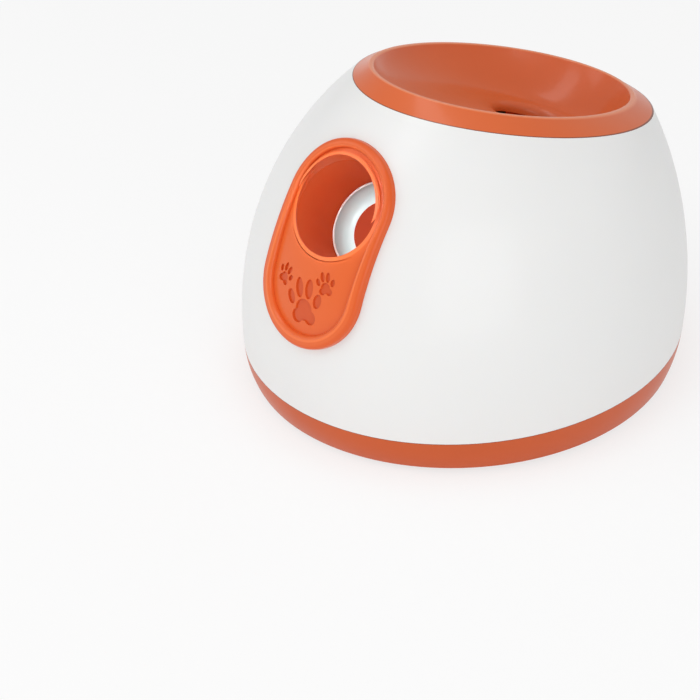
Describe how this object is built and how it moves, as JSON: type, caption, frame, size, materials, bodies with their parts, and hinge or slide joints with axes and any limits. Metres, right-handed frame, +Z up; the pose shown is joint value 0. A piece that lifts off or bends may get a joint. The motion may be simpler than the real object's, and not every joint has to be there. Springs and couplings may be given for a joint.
{
  "type": "automatic dog ball launcher",
  "caption": "Domed automatic ball launcher for dogs with a top feed funnel, a sloping launch barrel and a motor-drawn spring striker.",
  "frame": {"origin": "centre of the footprint on the floor", "axes": "+Y from the outlet at the front to the control panel at the rear, +X to the right when looking along +Y, +Z up"},
  "size_m": [0.267, 0.3043, 0.2075],
  "materials": {
    "case_white": "satin gloss moulded plastic",
    "body_orange": "satin moulded plastic",
    "funnel_orange": "satin moulded plastic",
    "tunnel_orange": "satin moulded plastic",
    "striker_grey": "satin moulded plastic",
    "hub_orange": "satin moulded plastic",
    "foot_rubber": "matte",
    "gear_plastic": "low-friction moulded plastic",
    "frame_plastic": "fine texture",
    "steel": "bright",
    "spring_steel": "drawn wire",
    "bush_brass": "plain",
    "board_green": "solder mask",
    "cell_wrap": "gloss wrap",
    "lens_clear": "frosted light pipe",
    "panel_grey": "fine texture",
    "inlet_black": "smooth"
  },
  "bodies": {
    "launcher": {"upper_shell": "case_white", "base_tray": "body_orange", "funnel": "funnel_orange", "outlet_bezel": "body_orange", "rubber_feet": "foot_rubber", "launch_barrel": "tunnel_orange", "barrel_end_cap": "frame_plastic", "ball_chute": "tunnel_orange", "launch_spring": "spring_steel", "motor": "steel", "gear_axles": "steel", "shaft_bushes": "bush_brass", "gearbox_plate": "frame_plastic", "gearbox_cover": "frame_plastic", "chassis": "frame_plastic", "gate_servo": "frame_plastic", "lever_pin": "steel", "ball_switch": "inlet_black", "battery_cells": "cell_wrap", "battery_contacts": "steel", "main_board": "board_green", "control_board": "board_green", "control_panel": "panel_grey", "indicator_lenses": "lens_clear", "power_inlet": "inlet_black", "case_screws": "steel", "chassis_screws": "steel", "gearbox_screws": "steel", "panel_screws": "steel"},
    "striker": {"striker_head": "striker_grey", "striker_cap": "hub_orange", "striker_pin": "steel", "rack": "gear_plastic"},
    "cocking": {"cocking_gear": "gear_plastic", "cocking_shaft": "steel", "driven_gear": "gear_plastic"},
    "second": {"second_gear": "gear_plastic"},
    "first": {"first_gear": "gear_plastic"},
    "rotor": {"motor_pinion": "bush_brass", "motor_shaft": "steel"},
    "gate": {"ball_gate": "tunnel_orange"},
    "lever": {"ball_lever": "frame_plastic"},
    "power": {"power_button": "body_orange"},
    "distance": {"distance_button": "body_orange"},
    "door": {"battery_door": "body_orange"}
  },
  "joints": [
    {"name": "cocking_turn", "type": "hinge", "parent": "launcher", "child": "cocking", "pos_m": [0, -0.08184, 0.0487], "axis": [-1, 0, 0], "range_deg": [0, 238]},
    {"name": "striker_slide", "type": "slide", "parent": "launcher", "child": "striker", "axis": [0, 0.766, -0.6428], "range_m": [0, 0.0749], "stiffness_N_per_m": 400, "springref_m": -0.04, "deforming": ["launch_spring"]},
    {"name": "second_turn", "type": "hinge", "parent": "launcher", "child": "second", "pos_m": [0, -0.04836, 0.0428], "axis": [-1, 0, 0], "range_deg": [-1112, 0]},
    {"name": "first_turn", "type": "hinge", "parent": "launcher", "child": "first", "pos_m": [0, -0.02325, 0.04953], "axis": [-1, 0, 0], "range_deg": [0, 3704]},
    {"name": "rotor_turn", "type": "hinge", "parent": "launcher", "child": "rotor", "pos_m": [0, 0.00375, 0.04953], "axis": [-1, 0, 0], "range_deg": [-12960, 0]},
    {"name": "gate_swing", "type": "hinge", "parent": "launcher", "child": "gate", "pos_m": [0, 0.005, 0.155], "axis": [-1, 0, 0], "range_deg": [0, 80]},
    {"name": "lever_press", "type": "hinge", "parent": "launcher", "child": "lever", "pos_m": [0, 0.05, 0.09487], "axis": [1, 0, 0], "range_deg": [0, 8], "stiffness_Nm_per_rad": 0.02, "springref_deg": -5.73},
    {"name": "power_press", "type": "slide", "parent": "launcher", "child": "power", "axis": [0, -1, 0], "range_m": [0, 0.0015], "stiffness_N_per_m": 400, "springref_m": -0.001},
    {"name": "distance_press", "type": "slide", "parent": "launcher", "child": "distance", "axis": [0, -1, 0], "range_m": [0, 0.0015], "stiffness_N_per_m": 400, "springref_m": -0.001},
    {"name": "door_swing", "type": "hinge", "parent": "launcher", "child": "door", "pos_m": [0, 0.0483, 0.0059], "axis": [-1, 0, 0], "range_deg": [0, 90]}
  ],
  "couplings": [
    {"joint": "striker_slide", "follows": "cocking_turn", "m_per_rad": 0.018},
    {"joint": "second_turn", "follows": "cocking_turn", "ratio": -4.6667},
    {"joint": "first_turn", "follows": "cocking_turn", "ratio": 15.556},
    {"joint": "rotor_turn", "follows": "cocking_turn", "ratio": -54.444}
  ]
}
